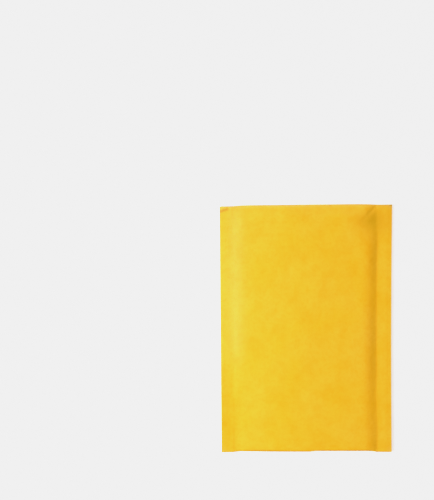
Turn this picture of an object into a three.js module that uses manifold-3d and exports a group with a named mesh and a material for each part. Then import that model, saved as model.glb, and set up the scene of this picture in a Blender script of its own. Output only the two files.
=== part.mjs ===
// Padded envelope: a kraft paper mailer lined with bubble film, empty, with its flap folded
// behind it. Millimetres, +Z up. It lies on its back with the smooth address side up.
// Origin: the middle of the footprint, at the height of the surface it lies on.
// +X runs across the envelope towards the wide side seam, +Y along it towards the flap fold.
import * as THREE from "three";
import { mergeVertices } from "three/addons/utils/BufferGeometryUtils.js";
import Module from "manifold-3d";

// Outer size of the closed envelope
const width = 165;
const length = 241;
const thickness = 6;

// Kraft paper sheet
const paper = 0.2;
const flapLength = 40;
const bottomPull = 1.2; // how far the padding draws the bottom fold in from the seam corners
const topBow = 0.8; // how far the flap fold stands out beyond its two seam corners
const topEase = 0.9; // how far the front panel comes down as it nears the flap fold
const topReach = 16;

// Side seams, where both panels and the crushed film are sealed together, and the slopes of
// padding that rise from them, steepest at the seam
const leftSeam = 11.2;
const rightSeam = 14.2;
const leftSlope = 12;
const rightSlope = 16;
const slopePower = 2.2;
const seamLevel = 2.7;
const seamHalf = 0.5; // from the middle of a seam to the middle of the paper on either side
const cornerReach = 34;
const topSpread = 0.5; // the slopes widen by this share towards the flap fold
const bottomTaper = 0.2; // and narrow by this share towards the bottom fold
const endMargin = 5; // the section no longer changes this near a fold

// Bubble lining
const liningGap = 0.22;
const slit = 0.3;
const slitBottom = 8; // from the bottom fold up to the bottom of the slit
const slitOverrun = 1; // how far the cutter of the slit runs out past the mouth

// Strips between the flap and the back panel, as heights above the middle of the flap's paper
const flapRoom = 0.9;
const recessReach = 12; // the back panel rises over this length to make room for the flap
const adhesive = { length: 154, from: 4, to: 16, low: 0.22, high: 0.36 };
const liner = { length: 160, from: 2, to: 22, low: 0.48, high: 0.58 };

// Where the sheets are divided
const slopeSteps = 7;
const columnPower = 1.4;
const panelSteps = 2;
const foldSteps = 8;
const flapLines = [0, 2, 4, 10, 16, 22, 28, 34.5]; // from the flap's free edge to its fold

const half = { x: width / 2, y: length / 2, z: thickness / 2 };
const flapEdge = half.y - flapLength;
const mouth = flapEdge + flapLines.at(-1); // the mouth edge of the back panel and the lining
const plateau = half.z - paper / 2;

const clamp = (t) => Math.min(Math.max(t, 0), 1);
const mix = THREE.MathUtils.lerp;

function smooth(t) {
  const c = clamp(t);
  return c * c * (3 - 2 * c);
}

// From 0 at cornerReach from a fold to 1 at endMargin from it
const nearFold = (distance) => smooth((cornerReach - distance) / (cornerReach - endMargin));

// How full the envelope is at a point: 0 in the side seams, 1 over the padded panel
function padding(x, y) {
  const spread = 1 + topSpread * nearFold(half.y - y) - bottomTaper * nearFold(half.y + y);
  const fromLeft = (x + half.x - leftSeam) / (leftSlope * spread);
  const fromRight = (half.x - rightSeam - x) / (rightSlope * spread);
  return 1 - (1 - clamp(Math.min(fromLeft, fromRight))) ** slopePower;
}

// Heights of the middle of the paper on the front panel, the flap and the back panel
function frontLevel(x, y) {
  const full = padding(x, y);
  const ease = topEase * full * smooth((y - half.y + topReach) / (topReach - endMargin));
  return mix(seamLevel, half.z, full) + mix(seamHalf, plateau, full) - ease;
}

function flapLevel(x, y) {
  const full = padding(x, y);
  return mix(seamLevel, half.z, full) - mix(seamHalf + flapRoom, plateau, full);
}

function backLevel(x, y) {
  const full = padding(x, y);
  const underFlap = smooth((y - flapEdge + recessReach) / recessReach);
  const lift = flapRoom * full * underFlap;
  return mix(seamLevel, half.z, full) - mix(seamHalf, plateau, full) + lift;
}

// The folds at x: where the middle of the bend is, and its radius to the middle of the paper
function bottomFold(x) {
  const full = padding(x, -half.y);
  const radius = mix(seamHalf, plateau, full);
  return {
    y: -half.y + paper / 2 + bottomPull * full + radius,
    z: mix(seamLevel, half.z, full),
    radius,
  };
}

function topFold(x) {
  const high = frontLevel(x, half.y);
  const low = flapLevel(x, half.y);
  const radius = (high - low) / 2;
  const bow = topBow * (1 - padding(x, half.y));
  return { y: half.y - paper / 2 - bow - radius, z: (high + low) / 2, radius };
}

// Every X where the section across the envelope turns, closer together near the seams
function columns() {
  const left = [];
  const right = [];
  for (let i = 0; i <= slopeSteps; i++) {
    const share = (i / slopeSteps) ** columnPower * (1 + topSpread);
    left.push(-half.x + leftSeam + share * leftSlope);
    right.unshift(half.x - rightSeam - share * rightSlope);
  }
  const start = left[slopeSteps];
  const end = right[0];
  const panel = [];
  for (let i = 1; i < panelSteps; i++) {
    panel.push(mix(start, end, i / panelSteps));
  }
  return [-half.x, ...left, ...panel, ...right, half.x];
}

// Lines along a panel, from the bottom fold to the mouth, closer together near the ends
const nearBottom = [0, 0.2, 0.4, 0.6, 0.8, 1].map((t) => -half.y + mix(endMargin, cornerReach, t));
const nearFlap = [1, 2 / 3, 1 / 3].map((share) => flapEdge - share * recessReach);
const panelLines = [...nearBottom, -30, 20, ...nearFlap];
const upperLines = flapLines.map((d) => flapEdge + d);

// A point of the sheet's middle surface in the plane at x, with the outward normal
const level = (y, z, side) => ({ y, z, ny: 0, nz: side });

function arc(fold, turn) {
  const ny = Math.cos(turn);
  const nz = Math.sin(turn);
  return { y: fold.y + fold.radius * ny, z: fold.z + fold.radius * nz, ny, nz };
}

// The sheet from the mouth edge of the back panel, round the bottom fold, up the front panel
// and over the top fold to the free edge of the flap: one function of x for each line across it
function sheetRows() {
  const rows = [];
  for (const y of [...panelLines, ...upperLines].toReversed()) {
    rows.push((x) => level(y, backLevel(x, y), -1));
  }
  for (let i = 0; i <= foldSteps; i++) {
    const turn = -Math.PI / 2 - (Math.PI * i) / foldSteps;
    rows.push((x) => arc(bottomFold(x), turn));
  }
  for (const y of [...panelLines, ...upperLines]) {
    rows.push((x) => level(y, frontLevel(x, y), 1));
  }
  for (let i = 0; i <= foldSteps; i++) {
    const turn = Math.PI / 2 - (Math.PI * i) / foldSteps;
    rows.push((x) => arc(topFold(x), turn));
  }
  for (const y of upperLines.toReversed()) {
    rows.push((x) => level(y, flapLevel(x, y), -1));
  }
  return rows;
}

// A flat box divided along X and Y, each vertex then placed by its column, row and side.
// side is -0.5 on the box's lower face and 0.5 on its upper one.
function placedBox(columnCount, rowCount, place) {
  const box = new THREE.BoxGeometry(1, 1, 1, columnCount - 1, rowCount - 1, 1);
  const position = box.attributes.position;
  for (let i = 0; i < position.count; i++) {
    const column = Math.round((position.getX(i) + 0.5) * (columnCount - 1));
    const row = Math.round((position.getY(i) + 0.5) * (rowCount - 1));
    position.setXYZ(i, ...place(column, row, position.getZ(i)));
  }
  box.computeVertexNormals();
  return box;
}

function kraftSheet() {
  const xs = columns();
  const rows = sheetRows();
  return placedBox(xs.length, rows.length, (column, row, side) => {
    const x = xs[column];
    const p = rows[row](x);
    return [x, p.y + side * paper * p.ny, p.z + side * paper * p.nz];
  });
}

// A strip lying on the inner face of the flap, parallel to its fold
function flapStrip(strip) {
  const inside = columns().filter((x) => Math.abs(x) < strip.length / 2);
  const xs = [-strip.length / 2, ...inside, strip.length / 2];
  const lines = flapLines.filter((d) => d >= strip.from && d <= strip.to);
  return placedBox(xs.length, lines.length, (column, row, side) => {
    const x = xs[column];
    const y = flapEdge + lines[row];
    return [x, y, flapLevel(x, y) + mix(strip.low, strip.high, side + 0.5)];
  });
}

// The section of a body that fills the pouch: a strip with a point at every line across the
// envelope, 1 apart, and a round end below 0. Its half-thickness is 1.
function fillSection(lineCount) {
  const section = new THREE.Shape();
  section.moveTo(0, -1);
  for (let i = 1; i <= lineCount; i++) {
    section.lineTo(i, -1);
  }
  for (let i = lineCount; i >= 0; i--) {
    section.lineTo(i, 1);
  }
  for (let i = 1; i < foldSteps; i++) {
    const turn = Math.PI / 2 + (Math.PI * i) / foldSteps;
    section.lineTo(Math.cos(turn), Math.sin(turn));
  }
  section.closePath();
  return section;
}

// A body that fills the pouch between two columns, from a round bottom end up to the last line.
// reachAt is its half-thickness, and bottomAt is where its round end starts.
function pouchFill(xs, lines, reachAt, bottomAt) {
  const body = new THREE.ExtrudeGeometry(fillSection(lines.length), {
    depth: xs.length - 1,
    steps: xs.length - 1,
    bevelEnabled: false,
  });
  const position = body.attributes.position;
  for (let i = 0; i < position.count; i++) {
    const x = xs[Math.round(position.getZ(i))];
    const along = position.getX(i);
    const line = Math.round(along);
    const y = line > 0 ? lines[line - 1] : bottomAt(x);
    const middle = (frontLevel(x, y) + backLevel(x, y)) / 2;
    const reach = reachAt(x, y);
    const roundEnd = Math.min(along, 0) * reach;
    position.setXYZ(i, x, y + roundEnd, middle + position.getY(i) * reach);
  }
  return body;
}

const wasm = await Module();
wasm.setup();

function toSolid(geometry) {
  const bare = geometry.clone();
  bare.deleteAttribute("normal");
  bare.deleteAttribute("uv");
  const merged = mergeVertices(bare);
  const mesh = new wasm.Mesh({
    numProp: 3,
    vertProperties: merged.attributes.position.array,
    triVerts: new Uint32Array(merged.index.array),
  });
  return new wasm.Manifold(mesh);
}

function toGeometry(solid) {
  const mesh = solid.getMesh();
  const geometry = new THREE.BufferGeometry();
  geometry.setAttribute("position", new THREE.BufferAttribute(mesh.vertProperties, 3));
  geometry.setIndex(new THREE.BufferAttribute(mesh.triVerts, 1));
  geometry.computeVertexNormals();
  return geometry;
}

// Two leaves of bubble film, folded at the bottom and sealed flat along both sides,
// with a slit between them that opens at the mouth
function bubbleLining() {
  const clearance = paper / 2 + liningGap;
  const filled = (x, y) => (frontLevel(x, y) - backLevel(x, y)) / 2 - clearance;
  const lines = [...panelLines, ...upperLines];
  const outside = pouchFill(columns(), lines, filled, (x) => bottomFold(x).y);
  const openColumns = columns().filter((x) => padding(x, 0) > 0);
  const openLines = [...lines.slice(1), mouth + slitOverrun];
  const inside = pouchFill(
    openColumns,
    openLines,
    () => slit / 2,
    () => -half.y + slitBottom,
  );
  return toGeometry(toSolid(outside).subtract(toSolid(inside)));
}

const kraft = new THREE.MeshStandardMaterial({ color: 0xeec233, roughness: 0.72 });
const film = new THREE.MeshStandardMaterial({ color: 0xdfe8ea, roughness: 0.3 });
const glue = new THREE.MeshStandardMaterial({ color: 0xf2ecd8, roughness: 0.45 });
const release = new THREE.MeshStandardMaterial({ color: 0xf6f5f1, roughness: 0.4 });

function named(name, geometry, material) {
  const mesh = new THREE.Mesh(geometry, material);
  mesh.name = name;
  return mesh;
}

const flapParts = new THREE.Group();
flapParts.add(named("adhesive_strip", flapStrip(adhesive), glue));
flapParts.add(named("release_liner", flapStrip(liner), release));

const group = new THREE.Group();
group.add(named("kraft_outer", kraftSheet(), kraft));
group.add(named("bubble_lining", bubbleLining(), film));
group.add(flapParts);

export default group;
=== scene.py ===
import math

import bpy
import numpy as np
from mathutils import Matrix, Vector


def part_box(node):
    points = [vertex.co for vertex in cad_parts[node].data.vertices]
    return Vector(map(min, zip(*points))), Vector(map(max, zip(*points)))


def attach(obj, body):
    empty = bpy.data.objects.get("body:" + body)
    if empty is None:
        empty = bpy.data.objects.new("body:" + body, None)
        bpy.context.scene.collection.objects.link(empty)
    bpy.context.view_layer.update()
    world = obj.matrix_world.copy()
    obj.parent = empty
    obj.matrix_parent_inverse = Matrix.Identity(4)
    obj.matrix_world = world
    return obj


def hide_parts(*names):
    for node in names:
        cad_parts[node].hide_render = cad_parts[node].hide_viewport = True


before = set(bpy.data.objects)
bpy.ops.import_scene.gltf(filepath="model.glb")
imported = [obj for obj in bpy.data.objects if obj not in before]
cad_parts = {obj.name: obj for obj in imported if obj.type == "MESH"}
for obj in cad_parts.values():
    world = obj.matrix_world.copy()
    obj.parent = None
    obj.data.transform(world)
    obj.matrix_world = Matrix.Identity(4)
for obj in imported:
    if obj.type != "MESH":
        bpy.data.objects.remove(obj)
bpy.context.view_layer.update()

MM = 0.001

# ---------------------------------------------------------------- sizes, as in the frame
# X runs from the left seam to the right one, Y from the bottom fold to the top one, Z upwards.

paper_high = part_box("kraft_outer")[1]
lining_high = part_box("bubble_lining")[1]
HALF_WIDTH = paper_high.x / MM
HALF_LENGTH = paper_high.y / MM
THICKNESS = paper_high.z / MM
MOUTH = lining_high.y / MM
FLAP_LENGTH = 40.0
FLAP_EDGE = HALF_LENGTH - FLAP_LENGTH
PAPER = 0.2

# The flat side seams, and the slopes between them and the padded panel
LEFT_SEAM = 11.2
RIGHT_SEAM = 14.2
LEFT_FOOT = -HALF_WIDTH + LEFT_SEAM
RIGHT_FOOT = HALF_WIDTH - RIGHT_SEAM
LEFT_SLOPE = 12.0
RIGHT_SLOPE = 16.0
SLOPE_POWER = 2.2
# How much longer the slopes are near the top fold, and shorter near the bottom fold
TOP_SPREAD = 0.5
BOTTOM_TAPER = 0.2
CORNER_REACH = 34.0
END_MARGIN = 5.0
# Where the right slope's foot strays from straight: y, reach and how far
RIGHT_STRAYS = ((86.0, 16.0, 0.9), (-62.0, 10.0, -0.5), (-97.0, 14.0, 0.7))

# Half the distance between the front and back papers, over the panel and in the seams, and how
# high the middle of the seams lies
PLATEAU = THICKNESS / 2 - PAPER / 2
SEAM_HALF = 0.5
SEAM_LEVEL = 2.7
# How far the back panel is lifted to make room for the flap, and over what length it rises
FLAP_ROOM = 0.9
RECESS_REACH = 12.0

# The folds: how far the padding pulls the bottom one in, less of it left of the step, and how the
# top one is bowed in at the seams and eased down over the panel
BOTTOM_PULL = 1.2
LEFT_BOTTOM_SHARE = 0.45
BOTTOM_STEP = (3.0, 9.0)
TOP_BOW = 0.8
TOP_EASE = 0.9
TOP_REACH = 16.0

# How the whole envelope lies: its right side drawn in, its top fold askew
SIDE_PULL = 0.7
TOP_SKEW = 0.45

# ---------------------------------------------------------------- plain functions


def mix(a, b, t):
    return a + (b - a) * t


def smooth(t):
    c = np.clip(t, 0.0, 1.0)
    return c * c * (3.0 - 2.0 * c)


def eased(value, start, end):
    """0 up to the start, easing to 1 at the end, in either direction."""
    return smooth((value - start) / (end - start))


def hump(distance, reach):
    """1 at distance 0, falling softly to nothing past reach."""
    return np.exp(-((distance / reach) ** 2))


def ripples(seed, wave_x, wave_y, count=28):
    """A smooth random height of about unit size, with the wavelengths given along X and Y."""
    rng = np.random.default_rng(seed)
    turn = rng.uniform(0.0, 2.0 * math.pi, count)
    size = rng.uniform(0.6, 1.5, count)
    phase = rng.uniform(0.0, 2.0 * math.pi, count)
    kx = 2.0 * math.pi * np.cos(turn) * size / wave_x
    ky = 2.0 * math.pi * np.sin(turn) * size / wave_y

    def height(x, y):
        total = np.zeros(np.broadcast(x, y).shape)
        for i in range(count):
            total += np.cos(kx[i] * x + ky[i] * y + phase[i])
        return total * math.sqrt(2.0 / count)

    return height


def beside_line(x, y, start, end):
    """Distance to the left of a line, and how far along it, from 0 at start to 1 at end."""
    (x0, y0), (x1, y1) = start, end
    length = math.hypot(x1 - x0, y1 - y0)
    ux, uy = (x1 - x0) / length, (y1 - y0) / length
    along = ((x - x0) * ux + (y - y0) * uy) / length
    beside = (y - y0) * ux - (x - x0) * uy
    return beside, along


# ---------------------------------------------------------------- the envelope's form


def near_fold(distance):
    """1 at a fold, 0 away from it."""
    return eased(distance, CORNER_REACH, END_MARGIN)


def padding(x, y):
    """0 in the side seams, 1 over the padded panel."""
    spread = 1.0 + TOP_SPREAD * near_fold(HALF_LENGTH - y)
    spread = spread - BOTTOM_TAPER * near_fold(HALF_LENGTH + y)
    left = (x - LEFT_FOOT) / (LEFT_SLOPE * spread)
    right = (RIGHT_FOOT - x + right_wander(y)) / (RIGHT_SLOPE * spread)
    nearest = np.clip(np.minimum(left, right), 0.0, 1.0)
    return 1.0 - (1.0 - nearest) ** SLOPE_POWER


def right_wander(y):
    """How far the right seam's inner edge strays from straight."""
    return sum(amount * hump(y - middle, reach) for middle, reach, amount in RIGHT_STRAYS)


def front_level(x, y):
    """Height of the front panel in the plain form, eased down near the top fold."""
    full = padding(x, y)
    ease = TOP_EASE * full * eased(HALF_LENGTH - y, TOP_REACH, END_MARGIN)
    return mix(SEAM_LEVEL, THICKNESS / 2, full) + mix(SEAM_HALF, PLATEAU, full) - ease


def flap_level(x, y):
    """Height of the flap in the plain form."""
    full = padding(x, y)
    return mix(SEAM_LEVEL, THICKNESS / 2, full) - mix(SEAM_HALF + FLAP_ROOM, PLATEAU, full)


def back_level(x, y):
    """Height of the back panel in the plain form, lifted where the flap lies under it."""
    full = padding(x, y)
    lift = FLAP_ROOM * full * over_flap(y)
    return mix(SEAM_LEVEL, THICKNESS / 2, full) - mix(SEAM_HALF, PLATEAU, full) + lift


def over_flap(y):
    """1 where the flap lies under the back panel, 0 away from it."""
    return eased(y, FLAP_EDGE - RECESS_REACH, FLAP_EDGE)


# ---------------------------------------------------------------- small forms of the paper

# Stretches along Y, from where a change sets in to where it is full
LOWER_LEFT = (-8.0, -63.0)
LEFT_BOTTOM = (-55.0, -80.0)
LOWER_RIGHT = (-40.0, -90.0)
UPPER_RIGHT = (82.0, 96.0)

# The lining's bubbles, and how they show through the paper
BUBBLE_PITCH = 11.0
BUBBLE_RADIUS = 4.9
ROW_PITCH = BUBBLE_PITCH * math.sqrt(3.0) / 2.0
BUBBLE_PRINT = 0.09
SLOPE_PRINT = 0.10
BACK_PRINT = 0.06
FRONT_PRINT_REACH = 3.4
BACK_PRINT_REACH = 3.6

# The panel's crown, and its broad and soft waves
CROWN = 0.55
CROWN_DROP = 0.2
BROAD_WAVE = 0.10
SOFT_WAVE = 0.035
BACK_WAVE = 0.05
# Soft dents of the front panel: x, y, reach and depth
DENTS = (
    (39.0, -51.0, 8.0, 0.16),
    (35.0, 10.0, 9.0, 0.12),
    (25.0, -31.0, 7.0, 0.10),
    (-38.0, 62.0, 14.0, 0.10),
    (60.0, 101.0, 11.0, 1.5),
)

# The left side: how much the panel falls towards it, and how much more low down
LEFT_SHOULDER = 1.8
LEFT_REACH = 72.0
LOWER_SHOULDER = 0.35
BOTTOM_SHOULDER = 0.55
LEFT_FILLET = 1.3
LEFT_STEEPNESS = 0.20
TOP_STEEPNESS_LOSS = 0.08
LOWER_STEEPNESS_LOSS = 0.12

# The right side: the groove where the panel's foot sinks beside the seam
GROOVE = 0.72
GROOVE_REACH = 12.0
LOWER_GROOVE_SHARE = 0.8
UPPER_GROOVE_SHARE = 0.3
RIGHT_FILLET = 1.7
RIGHT_STEEPNESS = 0.30

# The top: rounded into the fold, with a ridge and a hollow below it, fuller to the right
TOP_ROUNDING = 1.8
TOP_BAND = 10.5
TOP_RIDGE = 0.40
RIGHT_RIDGE = 0.35
RIGHT_CORNER = 0.9
TOP_HOLLOW = 0.14

# How the seams lie towards their cut edges
FALL_LEFT = 0.4
RISE_LEFT = 1.8
RISE_RIGHT = 0.15
SEAM_DROOP = 0.16
SEAM_DROOP_REACH = 6.5
UPPER_DROOP_REACH = 14.0
SEAM_WAVE = 0.08
CRIMP = 0.12
CRIMP_REACH = 5.0

# Creases of the front, from one end to the other
TOP_PINCH = (67.3, 118.4), (54.0, 105.0)
LEFT_TIP_BEND = (-82.5, 115.5), (-70.5, 118.9)
# The line along which shade is painted into the left tip's crease
LEFT_TIP_SHADE_LINE = (-82.5, 114.9), (-74.0, 117.6)
RIGHT_TIP_BEND = (82.5, 114.0), (78.5, 120.5)
PINCH_DEPTH = 0.50
TIP_CREASE = 0.22
LEFT_TIP_FALL = 0.05
RIGHT_TIP_FALL = 0.20

broad_waves = ripples(3, 55.0, 80.0)
soft_waves = ripples(11, 17.0, 30.0)
seam_waves = ripples(31, 200.0, 70.0)
print_waves = ripples(47, 40.0, 60.0)
strip_waves = ripples(53, 9.0, 30.0)


def bubble_distance(x, y):
    """Distance to the middle of the nearest bubble in rows that are staggered by half a pitch."""
    nearest = np.full(np.broadcast(x, y).shape, BUBBLE_PITCH)
    row = np.round(y / ROW_PITCH)
    for step in (-1, 0, 1):
        at_row = row + step
        shift = np.where(at_row % 2 == 0, 0.0, BUBBLE_PITCH / 2.0)
        at_x = np.round((x - shift) / BUBBLE_PITCH) * BUBBLE_PITCH + shift
        nearest = np.minimum(nearest, np.hypot(x - at_x, y - at_row * ROW_PITCH))
    return nearest


def front_detail(x, y):
    """What the front panel's height adds to the plain form."""
    full = padding(x, y)
    across = x / HALF_WIDTH
    along = y / HALF_LENGTH
    height = full * (CROWN * (1.0 - across**2) * (1.0 - along**4) - CROWN_DROP)
    height = height + full * (BROAD_WAVE * broad_waves(x, y) + SOFT_WAVE * soft_waves(x, y))
    on_slope = 4.0 * full * (1.0 - full)
    patchy = smooth(0.6 + 0.35 * print_waves(x, y))
    firm = BUBBLE_PRINT * patchy + SLOPE_PRINT * on_slope
    height = height + full * firm * hump(bubble_distance(x, y), FRONT_PRINT_REACH)
    lower = LOWER_SHOULDER * eased(y, *LOWER_LEFT) + BOTTOM_SHOULDER * eased(y, *LEFT_BOTTOM)
    height = height - LEFT_SHOULDER * full * (1.0 + lower) * from_left(x)
    height = height + full * top_band(x, y) + right_groove(x, y)
    for dent_x, dent_y, reach, depth in DENTS:
        height = height - full * depth * hump(np.hypot(x - dent_x, y - dent_y), reach)
    return height + left_fillet(x, y) + seam_detail(x, y) + corner_creases(x, y) - crimp(x)


def from_left(x):
    """1 at the left seam's inner edge, easing to 0 towards the middle."""
    return np.clip(1.0 - (x - LEFT_FOOT) / LEFT_REACH, 0.0, 1.0) ** 2


def fillet(from_seam, steepness, reach):
    """Rounds the inside corner where the panel rises out of a seam."""
    return 0.5 * steepness * reach * np.exp(-np.abs(from_seam) / reach)


def left_fillet(x, y):
    """The fillet beside the left seam, less steep near the top fold and low down."""
    steepness = LEFT_STEEPNESS - TOP_STEEPNESS_LOSS * near_fold(HALF_LENGTH - y)
    steepness = steepness - LOWER_STEEPNESS_LOSS * eased(y, *LOWER_LEFT)
    return fillet(x - LEFT_FOOT, steepness, LEFT_FILLET)


def top_band(x, y):
    """A ridge that rounds off towards the flap fold, and the hollow below it."""
    to_fold = HALF_LENGTH - y
    rounding = TOP_ROUNDING * np.clip(1.0 - to_fold / TOP_BAND, 0.0, 1.0) ** 2
    ridge = (TOP_RIDGE + RIGHT_RIDGE * hump(x - 46.0, 22.0)) * hump(to_fold - 11.5, 5.5)
    corner = RIGHT_CORNER * hump(x - 64.0, 11.0) * hump(to_fold - 3.0, 6.0)
    hollow = TOP_HOLLOW * hump(to_fold - 27.0, 10.0)
    return ridge + corner - rounding - hollow


def right_groove(x, y):
    """The panel's foot sinks beside the right seam, and rounds softly out into it."""
    from_seam = x - RIGHT_FOOT - right_wander(y)
    inside = 1.0 - eased(from_seam, 0.0, -GROOVE_REACH)
    least = UPPER_GROOVE_SHARE * eased(y, *UPPER_RIGHT)
    outside = np.clip(1.0 - from_seam / RIGHT_SEAM, least, 1.0)
    depth = GROOVE * mix(1.0, LOWER_GROOVE_SHARE, eased(y, *LOWER_RIGHT))
    return fillet(from_seam, RIGHT_STEEPNESS, RIGHT_FILLET) - depth * inside * outside


def seam_detail(x, y):
    """How the two flat seams lie: turned up or down towards the cut edge, and slightly wavy."""
    loose = 1.0 - padding(x, y)
    edge = HALF_WIDTH - np.abs(x)
    to_edge = np.clip(1.0 - edge / LEFT_SEAM, 0.0, 1.0)
    left = mix(-FALL_LEFT, RISE_LEFT, eased(y, *LOWER_LEFT)) * mix(to_edge, to_edge**2, 0.5)
    rise = np.clip((RIGHT_SEAM - edge) / (RIGHT_SEAM - SEAM_DROOP_REACH), 0.0, 1.0)
    droop_reach = mix(SEAM_DROOP_REACH, UPPER_DROOP_REACH, eased(y, *UPPER_RIGHT))
    right = RISE_RIGHT * rise - SEAM_DROOP * smooth(1.0 - edge / droop_reach)
    return loose * (np.where(x < 0.0, left, right) + SEAM_WAVE * seam_waves(x, y))


def crimp(x):
    """How much closer each sheet lies to the other along the cut edges."""
    return CRIMP * smooth(1.0 - (HALF_WIDTH - np.abs(x)) / CRIMP_REACH)


def corner_creases(x, y):
    """The pinch beside the right seam at the top, and the bent tips of the top corners."""
    beside, along = beside_line(x, y, *TOP_PINCH)
    pinch = PINCH_DEPTH * hump(beside, 2.0) * eased(along, 1.15, 0.15) * eased(along, -0.25, 0.0)
    beside, along = beside_line(x, y, *LEFT_TIP_BEND)
    bent = TIP_CREASE * hump(beside, 0.8) + LEFT_TIP_FALL * np.clip(beside, 0.0, 4.0)
    left_tip = bent * eased(along, 1.2, 0.7)
    right_tip = RIGHT_TIP_FALL * np.clip(-beside_line(x, y, *RIGHT_TIP_BEND)[0], 0.0, None)
    return -pinch - left_tip - right_tip


def back_detail(x, y):
    """What the back panel's height adds to the plain form."""
    resting = padding(x, y) * (1.0 - over_flap(y))
    printed = BACK_PRINT * (1.0 - hump(bubble_distance(x, y), BACK_PRINT_REACH))
    waved = BACK_WAVE * np.abs(soft_waves(x, y))
    return resting * (printed + waved) + lower_seams(x, y) + crimp(x)


def lower_seams(x, y):
    """The flat seams and the groove beside them, as the paper below follows them."""
    return seam_detail(x, y) + (1.0 - padding(x, y)) * right_groove(x, y)


# ---------------------------------------------------------------- meshes

SHARP_ANGLE = math.radians(50.0)


def spaced(*stretches):
    """Places along a line from stretches of (start, end, step)."""
    places = []
    for start, end, step in stretches:
        count = max(1, round((end - start) / step))
        places.extend(start + (end - start) * i / count for i in range(count))
    places.append(stretches[-1][1])
    return np.array(places)


def grid(x, rows):
    """Points of a sheet from its columns and its lines of places and heights."""
    return np.stack([np.stack([x, y, z], axis=-1) for y, z in rows])


def grid_normals(points):
    """Unit normals of a grid of points, rows by columns."""
    along = np.gradient(points, axis=0)
    across = np.gradient(points, axis=1)
    normals = np.cross(across, along)
    return normals / np.linalg.norm(normals, axis=2, keepdims=True)


def grid_quads(rows, columns, first, turned):
    """Faces of a grid of points whose first has the index given, turned over or not."""
    r, c = np.meshgrid(np.arange(rows - 1), np.arange(columns - 1), indexing="ij")
    corner = first + r * columns + c
    quads = [corner, corner + 1, corner + columns + 1, corner + columns]
    if turned:
        quads.reverse()
    return np.stack(quads, axis=-1).reshape(-1, 4)


def rim_quads(rows, columns):
    """Faces that join the two grids of a sheet round its edge."""
    inner = rows * columns
    corners = np.arange(rows * columns).reshape(rows, columns)
    edge = list(corners[0, :-1]) + list(corners[:-1, -1])
    edge += list(corners[-1, :0:-1]) + list(corners[:0:-1, 0])
    a = np.array(edge)
    b = np.roll(a, -1)
    return np.stack([b, a, a + inner, b + inner], axis=-1)


def settled(points):
    """Points as the envelope lies: its right side drawn in, its top fold a little askew."""
    x, y, z = points[..., 0], points[..., 1], points[..., 2]
    drawn_in = SIDE_PULL * (1.0 - (y / HALF_LENGTH) ** 2) * np.clip(x / HALF_WIDTH, 0.0, 1.0) ** 2
    askew = TOP_SKEW * x / HALF_WIDTH * eased(y, 0.0, HALF_LENGTH)
    return np.stack([x - drawn_in, y + askew, z], axis=-1)


def sheet_mesh(name, outer, inner):
    """A closed sheet between two grids of points, given in millimetres."""
    rows, columns = outer.shape[:2]
    points = settled(np.concatenate([outer.reshape(-1, 3), inner.reshape(-1, 3)])) * MM
    quads = np.concatenate(
        [
            grid_quads(rows, columns, 0, False),
            grid_quads(rows, columns, rows * columns, True),
            rim_quads(rows, columns),
        ]
    )
    mesh = bpy.data.meshes.new(name)
    mesh.from_pydata(points.tolist(), [], quads.tolist())
    mesh.validate()
    mesh.shade_smooth()
    mesh.set_sharp_from_angle(angle=SHARP_ANGLE)
    piece = bpy.data.objects.new(name, mesh)
    bpy.context.scene.collection.objects.link(piece)
    return piece


def add_attribute(piece, name, values):
    layer = piece.data.attributes.new(name, "FLOAT", "POINT")
    layer.data.foreach_set("value", np.asarray(values, np.float32).ravel())


# How finely the folds and the lines that run in to them are stepped
FOLD_STEPS = 14
END_STEPS = 5
# 1 makes a round fold, and less makes a squarer one
BOTTOM_FULLNESS = 0.72
# Where the sheet's columns and lines stand, closer together where it bends
COLUMNS = spaced(
    (-HALF_WIDTH, LEFT_FOOT, 1.0),
    (LEFT_FOOT, LEFT_FOOT + 16.0, 0.6),
    (LEFT_FOOT + 16.0, RIGHT_FOOT - 21.0, 1.6),
    (RIGHT_FOOT - 21.0, RIGHT_FOOT, 0.6),
    (RIGHT_FOOT, HALF_WIDTH, 0.95),
)
PANEL_END = -HALF_LENGTH + END_MARGIN
TOP_START = 92.0
FRONT_LINES = spaced(
    (PANEL_END, PANEL_END + 9.0, 1.0),
    (PANEL_END + 9.0, TOP_START, 1.6),
    (TOP_START, MOUTH, 0.85),
)
BACK_LINES = spaced(
    (PANEL_END, FLAP_EDGE - 14.0, 3.0),
    (FLAP_EDGE - 14.0, FLAP_EDGE + 3.0, 1.2),
    (FLAP_EDGE + 3.0, MOUTH, 3.0),
)
FLAP_LINES = spaced((FLAP_EDGE, MOUTH, 2.3))


def bottom_bend(x):
    """Middle and radius of the bottom fold."""
    full = padding(x, -HALF_LENGTH)
    radius = mix(SEAM_HALF, PLATEAU, full)
    share = mix(LEFT_BOTTOM_SHARE, 1.0, eased(x, *BOTTOM_STEP))
    pull = BOTTOM_PULL * full * share
    return -HALF_LENGTH + PAPER / 2 + pull + radius, radius


def top_bend(x):
    """Middle and radius of the fold between the front panel and the flap."""
    radius = (front_level(x, HALF_LENGTH) - flap_level(x, HALF_LENGTH)) / 2.0
    bow = TOP_BOW * (1.0 - padding(x, HALF_LENGTH))
    return HALF_LENGTH - PAPER / 2 - bow - radius, radius


def back_height(x, y):
    return back_level(x, y) + back_detail(x, y)


def front_height(x, y):
    return front_level(x, y) + front_detail(x, y)


def flap_height(x, y):
    return flap_level(x, y) + lower_seams(x, y)


def lines_to(lines, middle, steps):
    """The straight lines of a panel, then lines that run in to the middle of a fold."""
    last = lines[-1]
    straight = [y * np.ones_like(middle) for y in lines]
    return straight + [mix(last, middle, i / steps) for i in range(1, steps + 1)]


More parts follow.
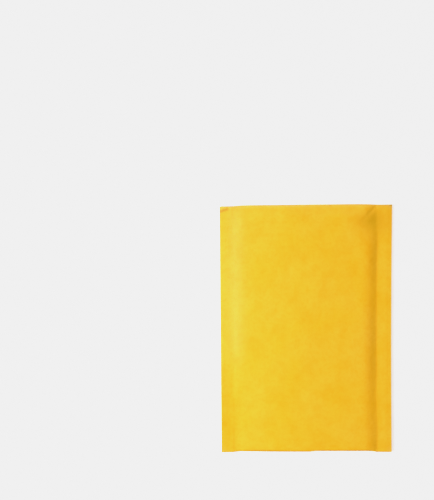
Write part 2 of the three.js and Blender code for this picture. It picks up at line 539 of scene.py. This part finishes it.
def bend(middle, radius, level, height, start, fullness=1.0):
    """Half a turn of a fold, from the angle start, as lines of places and heights."""
    lines = []
    for i in range(1, FOLD_STEPS):
        turn = start - math.pi * i / FOLD_STEPS
        out = math.copysign(abs(math.cos(turn)) ** fullness, math.cos(turn))
        rise = math.copysign(abs(math.sin(turn)) ** fullness, math.sin(turn))
        lines.append((middle + radius * out, level + height * rise))
    return lines


def paper_rows(x):
    """The middle of the sheet, line by line: back, bottom fold, front, top fold and flap."""
    low, low_radius = bottom_bend(x)
    top, top_radius = top_bend(x)
    back = [(y, back_height(x, y)) for y in lines_to(BACK_LINES[::-1], low, END_STEPS)]
    front = [(y, front_height(x, y)) for y in lines_to(FRONT_LINES[::-1], low, END_STEPS)][::-1]
    front += [(y, front_height(x, y)) for y in lines_to(FRONT_LINES[-1:], top, END_STEPS)[1:]]
    flap = [(y, flap_height(x, y)) for y in lines_to(FLAP_LINES, top, END_STEPS)][::-1]
    height = (front[0][1] - back[-1][1]) / 2.0
    level = (front[0][1] + back[-1][1]) / 2.0
    bottom_fold = bend(low, low_radius, level, height, -math.pi / 2.0, BOTTOM_FULLNESS)
    height = (front[-1][1] - flap[0][1]) / 2.0
    level = (front[-1][1] + flap[0][1]) / 2.0
    top_fold = bend(top, top_radius, level, height, math.pi / 2.0)
    return back + bottom_fold + front + top_fold + flap


def kraft_paper():
    middle = grid(COLUMNS, paper_rows(COLUMNS))
    offset = grid_normals(middle) * PAPER / 2.0
    piece = sheet_mesh("kraft_paper", middle + offset, middle - offset)
    # Colour marks: wear with a painted highlight, painted shade by the right seam and in creases
    marks = {"wear_and_highlight": paper_wear_and_highlight, "seam_shade": paper_painted_seam_shade, "crease_shade": paper_painted_crease_shade}
    for name, mark in marks.items():
        values = mark(middle).ravel()
        add_attribute(piece, name, np.concatenate([values, values]))
    return piece


# Marks on the paper: each is its strength times a hump at its place. The pairs are stretches along
# Y, from where a mark sets in to where it is full. A mark of the front leaves out the paper that
# lies closer than this to the back panel's height.
# The stretch along Y over which the painted highlight beside the left seam sets in
LEFT_HIGHLIGHT_SPAN = (-45.0, -5.0)
# Stretches along Y over which the painted shade beside the right seam and on its top end sets in
SEAM_FOOT_SHADE_SPAN = (-100.0, -20.0)
STRIP_SHADE_SPAN = (84.0, 98.0)
ABOVE_BACK = 0.3


def paper_wear_and_highlight(points):
    """How rubbed the paper is at its folds, cut edges and corners, with a painted highlight beside
    the left seam.
    """
    x, y = points[..., 0], points[..., 1]
    folds = hump(HALF_LENGTH - y, 2.2) + 0.6 * hump(HALF_LENGTH + y, 1.0)
    edges = hump(HALF_WIDTH - np.abs(x), 0.9)
    corners = hump(np.hypot(HALF_WIDTH - np.abs(x), HALF_LENGTH - np.abs(y)), 4.0)
    # A painted highlight on the slope beside the left seam, fading out low down
    foot = 0.55 * hump(x + 68.5, 9.5) * eased(y, *LEFT_HIGHLIGHT_SPAN) * on_front(points)
    return np.clip(0.9 * folds + 0.6 * edges + corners + foot, 0.0, 1.0)


def paper_painted_seam_shade(points):
    """Painted shade beside the right seam, in the panel's top right corner and on the seam's top
    end.
    """
    x, y = points[..., 0], points[..., 1]
    from_seam = x - RIGHT_FOOT - right_wander(y)
    # Painted shade along the right seam's foot, in the top right corner and on the seam's top end
    seam_foot_shade = 0.20 * hump(from_seam + 2.5, 4.0) * eased(y, *SEAM_FOOT_SHADE_SPAN)
    corner = 0.68 * hump(np.hypot(x - 62.0, y - 104.0), 12.0)
    strip = 0.25 * eased(y, *STRIP_SHADE_SPAN) * eased(from_seam, 0.0, 3.0)
    return np.clip(seam_foot_shade + corner + strip, 0.0, 1.0) * on_front(points)


def on_front(points):
    """1 on the front panel, 0 on the back panel and the flap."""
    x, y, z = points[..., 0], points[..., 1], points[..., 2]
    return np.where(z > back_height(x, y) + ABOVE_BACK, 1.0, 0.0)


def paper_painted_crease_shade(points):
    """Painted shade in the top tips' creases and on the top fold over the right seam, a darker spot
    on the top fold, and a painted shadow along the bottom fold.
    """
    x, y, z = points[..., 0], points[..., 1], points[..., 2]
    beside, along = beside_line(x, y, *LEFT_TIP_SHADE_LINE)
    # Painted shade in the bent top tips and along the top fold over the right seam
    left_tip = 0.60 * hump(beside, 1.3) * eased(along, 1.1, 0.85) * on_front(points)
    right_tip = 0.55 * hump(np.hypot(x - 82.5, y - 119.6), 1.5)
    seam_top = 0.30 * hump(HALF_LENGTH - 0.9 - y, 0.9) * eased(x, 64.0, 70.0)
    top_fold_spot = 0.35 * hump(x - 23.0, 0.9) * hump(HALF_LENGTH - y, 2.0)
    middle, radius = bottom_bend(x)
    # A painted shadow along the bottom fold, left of the middle
    bottom_fold_shadow = 0.65 * hump(y - middle + radius, 1.5) * hump(x + 43.0, 26.0) * eased(z, 2.0, 4.0)
    return np.clip(left_tip + right_tip + seam_top + top_fold_spot + bottom_fold_shadow, 0.0, 1.0)


# The film, its gap to the paper, and the gap from each leaf to the middle
FILM = 0.08
FILM_GAP = 0.14
LEAF_GAP = 0.06
FILM_STEP = 1.32
FILM_INSET = 0.9
# The leaves are sealed flat in the seams, and free from this share of the padding on
SEALED_SHARE = 0.35
# How far from the bottom fold the bubbles are full, and the least radius of the film's fold
BUBBLES_START = 4.0
SMALLEST_BEND = 0.02
LINING_COLUMNS = spaced(
    (-HALF_WIDTH + FILM_INSET, LEFT_FOOT - 2.0, 2.0),
    (LEFT_FOOT - 2.0, LEFT_FOOT + 2.0, 0.8),
    (LEFT_FOOT + 2.0, RIGHT_FOOT - 5.0, FILM_STEP),
    (RIGHT_FOOT - 5.0, RIGHT_FOOT + 4.0, 0.6),
    (RIGHT_FOOT + 4.0, HALF_WIDTH - FILM_INSET, 2.0),
)
LINING_LINES = spaced((PANEL_END, MOUTH, FILM_STEP))


def leaf_depth(x, y, room):
    """Thickness of one leaf: film between the bubbles, and bubbles as deep as there is room."""
    sealed = 1.0 - eased(padding(x, y), 0.0, SEALED_SHARE)
    away = np.clip(bubble_distance(x, y) / BUBBLE_RADIUS, 0.0, 1.0)
    bubble = (1.0 - away**4) ** 0.5 * eased(y, PANEL_END, PANEL_END + BUBBLES_START)
    deepest = room - LEAF_GAP
    return np.maximum(mix(FILM + bubble * (deepest - FILM), deepest, sealed), FILM)


def lining_rows(x):
    """Outer and inner lines: back leaf, bottom fold, front leaf."""
    clear = PAPER / 2.0 + FILM_GAP
    middle, radius = bottom_bend(x)
    outer_back, inner_back, outer_front, inner_front = [], [], [], []
    for y in lines_to(LINING_LINES[::-1], middle, END_STEPS):
        low = back_height(x, y) + clear
        high = front_height(x, y) - clear
        depth = leaf_depth(x, y, (high - low) / 2.0)
        outer_back.append((y, low))
        inner_back.append((y, low + depth))
        outer_front.append((y, high))
        inner_front.append((y, high - depth))
    level = (low + high) / 2.0
    half = (high - low) / 2.0
    start = -math.pi / 2.0
    reach = radius - clear
    outer_fold = bend(middle, reach, level, half, start)
    inner_reach = np.maximum(reach - depth, SMALLEST_BEND)
    inner_fold = bend(middle, inner_reach, level, half - depth, start)
    outer = outer_back + outer_fold + outer_front[::-1]
    inner = inner_back + inner_fold + inner_front[::-1]
    return outer, inner


def bubble_film():
    outer, inner = lining_rows(LINING_COLUMNS)
    return sheet_mesh("bubble_film", grid(LINING_COLUMNS, outer), grid(LINING_COLUMNS, inner))


def flap_strip(name, half_width, from_edge, to_edge, low, high, wave):
    """A strip on the inner face of the flap, between two heights above the flap's paper."""
    x = spaced((-half_width, half_width, 1.0))
    lines = spaced((FLAP_EDGE + from_edge, FLAP_EDGE + to_edge, 1.0))
    x, y = np.meshgrid(x, lines)
    resting = flap_height(x, y) + wave * strip_waves(x, y)
    upper = np.stack([x, y, resting + high], axis=-1)
    lower = np.stack([x, y, resting + low], axis=-1)
    return sheet_mesh(name, upper, lower)


# ---------------------------------------------------------------- materials


class Shader:
    """A node material, built a node at a time."""

    def __init__(self, name, color, roughness, **constants):
        self.material = bpy.data.materials.new(name)
        self.material.use_nodes = True
        self.tree = self.material.node_tree
        self.shader = self.tree.nodes["Principled BSDF"]
        self.shader.inputs["Base Color"].default_value = (*color, 1.0)
        self.shader.inputs["Roughness"].default_value = roughness
        for socket, value in constants.items():
            self.shader.inputs[socket.replace("_", " ")].default_value = value
        self.place = self.tree.nodes.new("ShaderNodeTexCoord").outputs["Object"]

    def node(self, kind, inputs, **settings):
        """A node with these settings, and its inputs linked to a socket or set to a value."""
        made = self.tree.nodes.new(kind)
        for key, value in settings.items():
            setattr(made, key, value)
        for key, value in inputs.items():
            if isinstance(value, bpy.types.NodeSocket):
                self.tree.links.new(value, made.inputs[key])
            else:
                made.inputs[key].default_value = value
        return made

    def stretched(self, scale):
        return self.node("ShaderNodeMapping", {"Vector": self.place, "Scale": scale}).outputs[0]

    def noise(self, scale, stretch=(1, 1, 1), detail=4.0, roughness=0.55):
        inputs = {
            "Vector": self.stretched(stretch),
            "Scale": scale,
            "Detail": detail,
            "Roughness": roughness,
        }
        return self.node("ShaderNodeTexNoise", inputs).outputs["Fac"]

    def attribute(self, name):
        return self.node("ShaderNodeAttribute", {}, attribute_name=name).outputs["Fac"]

    def spread(self, value, low, high, to_low, to_high):
        """The value, with its range from low to high spread over another range."""
        inputs = {0: value, 1: low, 2: high, 3: to_low, 4: to_high}
        return self.node("ShaderNodeMapRange", inputs).outputs[0]

    def math(self, operation, a, b):
        return self.node("ShaderNodeMath", {0: a, 1: b}, operation=operation).outputs[0]

    def blend(self, share, a, b):
        """Colour a, turning to colour b as the share rises. These are the sockets for colours."""
        return self.node("ShaderNodeMix", {0: share, 6: a, 7: b}, data_type="RGBA").outputs[2]

    def bump(self, height, distance, strength, normal=None):
        inputs = {"Height": height, "Distance": distance, "Strength": strength}
        if normal is not None:
            inputs["Normal"] = normal
        return self.node("ShaderNodeBump", inputs).outputs[0]

    def set(self, socket, value):
        self.tree.links.new(value, self.shader.inputs[socket])


# Paper colours: plain, fibre tones, painted shade, paler wear and a painted highlight
KRAFT = (0.87, 0.445, 0.021, 1.0)
LIGHT_KRAFT = (0.91, 0.490, 0.041, 1.0)
DARK_KRAFT = (0.82, 0.380, 0.012, 1.0)
# Painted shade beside the right seam and in the top right corner
SEAM_SHADE_KRAFT = (0.65, 0.340, 0.014, 1.0)
# Paler rubbed wear, also used for a painted highlight beside the left seam
WORN_AND_HIGHLIGHT_KRAFT = (0.88, 0.53, 0.12, 1.0)
# Painted shade in creases and folds, and a painted shadow along the bottom fold
CREASE_SHADE_KRAFT = (0.36, 0.19, 0.02, 1.0)


def kraft_material():
    s = Shader("yellow_kraft", (0.87, 0.44, 0.020), 0.50, Specular_IOR_Level=0.18)
    mottle = s.noise(26.0, detail=5.0)
    cloud = s.noise(90.0, detail=3.0)
    speck = s.noise(330.0, detail=3.0)
    streak = s.noise(260.0, stretch=(1.0, 0.03, 1.0), detail=3.0)
    fibre = s.noise(2300.0, stretch=(0.35, 1.0, 1.0), detail=3.0, roughness=0.7)
    long_fibre = s.noise(1500.0, stretch=(1.0, 0.14, 1.0), detail=2.0)
    tone = s.blend(s.spread(mottle, 0.35, 0.68, 0.0, 0.60), KRAFT, LIGHT_KRAFT)
    tone = s.blend(s.spread(cloud, 0.42, 0.70, 0.0, 0.50), tone, DARK_KRAFT)
    tone = s.blend(s.spread(speck, 0.45, 0.70, 0.0, 0.42), tone, DARK_KRAFT)
    tone = s.blend(s.spread(streak, 0.5, 0.8, 0.0, 0.18), tone, DARK_KRAFT)
    tone = s.blend(s.spread(fibre, 0.58, 0.75, 0.0, 0.35), tone, DARK_KRAFT)
    tone = s.blend(s.spread(long_fibre, 0.64, 0.76, 0.0, 0.45), tone, LIGHT_KRAFT)
    # Painted shade beside the right seam and in the top right corner
    tone = s.blend(s.attribute("seam_shade"), tone, SEAM_SHADE_KRAFT)
    # Paler wear at folds, edges and corners, and a painted highlight beside the left seam
    worn_and_highlit = s.math("MULTIPLY", s.attribute("wear_and_highlight"), s.spread(fibre, 0.35, 0.7, 0.1, 0.75))
    tone = s.blend(worn_and_highlit, tone, WORN_AND_HIGHLIGHT_KRAFT)
    # Painted shade in creases and folds, and a painted shadow along the bottom fold
    tone = s.blend(s.attribute("crease_shade"), tone, CREASE_SHADE_KRAFT)
    s.set("Base Color", tone)
    broad = s.spread(mottle, 0.3, 0.7, 0.46, 0.54)
    fine = s.spread(fibre, 0.3, 0.7, 0.0, 0.08)
    s.set("Roughness", s.math("ADD", broad, fine))
    crinkle = s.noise(150.0, stretch=(1.0, 0.6, 1.0), detail=6.0, roughness=0.6)
    normal = s.bump(crinkle, 0.0004, 0.25)
    normal = s.bump(fibre, 0.00008, 0.5, normal)
    normal = s.bump(long_fibre, 0.00008, 0.35, normal)
    s.set("Normal", normal)
    return s.material


def film_material():
    s = Shader("bubble_film", (0.84, 0.88, 0.90), 0.25, Specular_IOR_Level=0.5, Coat_Weight=0.2)
    haze = s.noise(120.0, detail=3.0)
    s.set("Base Color", s.blend(haze, (0.80, 0.85, 0.88, 1.0), (0.90, 0.93, 0.94, 1.0)))
    s.set("Roughness", s.spread(haze, 0.3, 0.7, 0.18, 0.34))
    s.set("Normal", s.bump(s.noise(700.0, detail=4.0), 0.0001, 0.4))
    return s.material


def adhesive_material():
    s = Shader("adhesive", (0.90, 0.85, 0.70), 0.35, Specular_IOR_Level=0.5)
    smear = s.noise(300.0, stretch=(0.1, 1.0, 1.0), detail=4.0)
    s.set("Base Color", s.blend(smear, (0.86, 0.80, 0.62, 1.0), (0.94, 0.90, 0.80, 1.0)))
    s.set("Roughness", s.spread(smear, 0.3, 0.7, 0.22, 0.5))
    s.set("Normal", s.bump(smear, 0.0001, 0.5))
    return s.material


def release_material():
    s = Shader("release_paper", (0.91, 0.91, 0.89), 0.35, Specular_IOR_Level=0.5)
    grain = s.noise(900.0, detail=4.0)
    s.set("Base Color", s.blend(grain, (0.88, 0.88, 0.86, 1.0), (0.95, 0.95, 0.93, 1.0)))
    s.set("Roughness", s.spread(grain, 0.3, 0.7, 0.28, 0.42))
    s.set("Normal", s.bump(grain, 0.00005, 0.4))
    return s.material


# The floor's glow, from near the envelope to far from it, and how far in under its edge it fades,
# with distances in metres
NEAR_GLOW = 0.32
FAR_GLOW = 0.66
GLOW_START = 0.5
GLOW_END = 3.0
SHADE_WIDTH = 0.004


def floor_material():
    """A pale floor, lit softly from below except under the envelope, so that it looks even."""
    s = Shader("pale_floor", (0.88, 0.88, 0.88), 0.8, Specular_IOR_Level=0.1)
    grain = s.noise(30.0, detail=4.0)
    s.set("Base Color", s.blend(grain, (0.87, 0.87, 0.87, 1.0), (0.89, 0.89, 0.89, 1.0)))
    s.shader.inputs["Emission Color"].default_value = (1.0, 1.0, 1.0, 1.0)
    distance = s.node("ShaderNodeVectorMath", {0: s.place}, operation="LENGTH").outputs["Value"]
    glow = s.spread(distance, GLOW_START, GLOW_END, NEAR_GLOW, FAR_GLOW)
    place = s.node("ShaderNodeVectorMath", {0: s.place}, operation="ABSOLUTE").outputs[0]
    halves = (HALF_WIDTH * MM, HALF_LENGTH * MM, 0.0)
    place = s.node("ShaderNodeVectorMath", {0: place, 1: halves}, operation="SUBTRACT").outputs[0]
    beyond = s.node("ShaderNodeSeparateXYZ", {0: place}).outputs
    beyond = s.math("MAXIMUM", beyond["X"], beyond["Y"])
    uncovered = s.spread(beyond, -SHADE_WIDTH, 0.0, 0.0, 1.0)
    s.set("Emission Strength", s.math("MULTIPLY", glow, uncovered))
    return s.material


# ---------------------------------------------------------------- the pieces


def finish_with(piece, material):
    """Gives the piece this material and no other."""
    piece.data.materials.clear()
    piece.data.materials.append(material)


paper = kraft_paper()
finish_with(paper, kraft_material())
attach(paper, "root")
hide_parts("kraft_outer")

film = bubble_film()
finish_with(film, film_material())
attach(film, "root")
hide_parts("bubble_lining")

adhesive = flap_strip(
    "adhesive_bead", half_width=77.0, from_edge=4.0, to_edge=16.0, low=0.22, high=0.36, wave=0.006
)
finish_with(adhesive, adhesive_material())
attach(adhesive, "root")
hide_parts("adhesive_strip")

liner = flap_strip(
    "release_paper", half_width=80.0, from_edge=2.0, to_edge=22.0, low=0.48, high=0.58, wave=0.02
)
finish_with(liner, release_material())
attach(liner, "root")
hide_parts("release_liner")

# ---------------------------------------------------------------- floor, light and camera
# Sizes and places are in metres here.

FLOOR_HALF = 12.0
# How far past the knee of the exposure each point of its curve stands
KNEE_STEPS = (0.0, 0.02, 0.045, 0.08, 0.13, 0.20, 0.32)


def add_floor():
    sides = ((-1, -1), (1, -1), (1, 1), (-1, 1))
    corners = [(x * FLOOR_HALF, y * FLOOR_HALF, 0.0) for x, y in sides]
    mesh = bpy.data.meshes.new("floor")
    mesh.from_pydata(corners, [], [(0, 1, 2, 3)])
    floor = bpy.data.objects.new("floor", mesh)
    bpy.context.scene.collection.objects.link(floor)
    finish_with(floor, floor_material())


def add_area_light(name, place, size, power):
    """A round white light at a place, turned towards the middle of the envelope."""
    data = bpy.data.lights.new(name, "AREA")
    data.shape = "DISK"
    data.size = size
    data.energy = power
    light = bpy.data.objects.new(name, data)
    light.location = place
    light.rotation_euler = Vector(place).to_track_quat("Z", "Y").to_euler()
    bpy.context.scene.collection.objects.link(light)


def add_world(strength):
    world = bpy.data.worlds.new("studio")
    world.use_nodes = True
    background = world.node_tree.nodes["Background"]
    background.inputs["Color"].default_value = (1.0, 1.0, 1.0, 1.0)
    background.inputs["Strength"].default_value = strength
    bpy.context.scene.world = world


def add_camera(tilt, turn, roll, distance, across, up, lens):
    """A camera tilted from straight above towards the flap fold, then turned and shifted."""
    level = math.cos(tilt)
    back = Vector((math.sin(turn) * level, math.sin(tilt), math.cos(turn) * level))
    right = Vector((0.0, 1.0, 0.0)).cross(back).normalized()
    right = Matrix.Rotation(roll, 3, back) @ right
    upward = back.cross(right)
    data = bpy.data.cameras.new("camera")
    data.lens = lens
    data.clip_end = 50.0
    camera = bpy.data.objects.new("camera", data)
    axes = Matrix((right, upward, back)).transposed().to_4x4()
    place = back * distance + right * across + upward * up
    camera.matrix_world = Matrix.Translation(place) @ axes
    bpy.context.scene.collection.objects.link(camera)
    bpy.context.scene.camera = camera


def set_tones(black, knee, white, brightest):
    """A photographer's exposure: straight up to the knee, then easing to white at the brightest."""
    view = bpy.context.scene.view_settings
    view.view_transform = "Standard"
    view.look = "None"
    view.use_curve_mapping = True
    curves = view.curve_mapping
    curves.black_level = (black, black, black)
    curves.white_level = (brightest, brightest, brightest)
    curves.extend = "HORIZONTAL"
    tone = curves.curves[-1]
    scale = (1.0 - black) / (brightest - black)
    tone.points[0].location = (0.0, 0.0)
    tone.points[1].location = (1.0, white)
    for over in KNEE_STEPS:
        softened = knee + (white - knee) * (1.0 - math.exp(-over / (white - knee)))
        tone.points.new((knee + over) * scale, softened)
    for point in tone.points:
        point.handle_type = "VECTOR"
    curves.update()


add_floor()
add_world(strength=0.292)
add_area_light("key", place=(-0.50, -0.06, 0.50), size=0.40, power=5.15)
add_area_light("overhead", place=(0.0, 1.80, 1.75), size=1.20, power=26.5)
add_camera(
    tilt=math.radians(6.0),
    turn=math.radians(2.05),
    roll=math.radians(-0.51),
    distance=1.6,
    across=-0.0861,
    up=0.0763,
    lens=119.17,
)
set_tones(black=0.012, knee=0.79, white=0.8705, brightest=1.6)
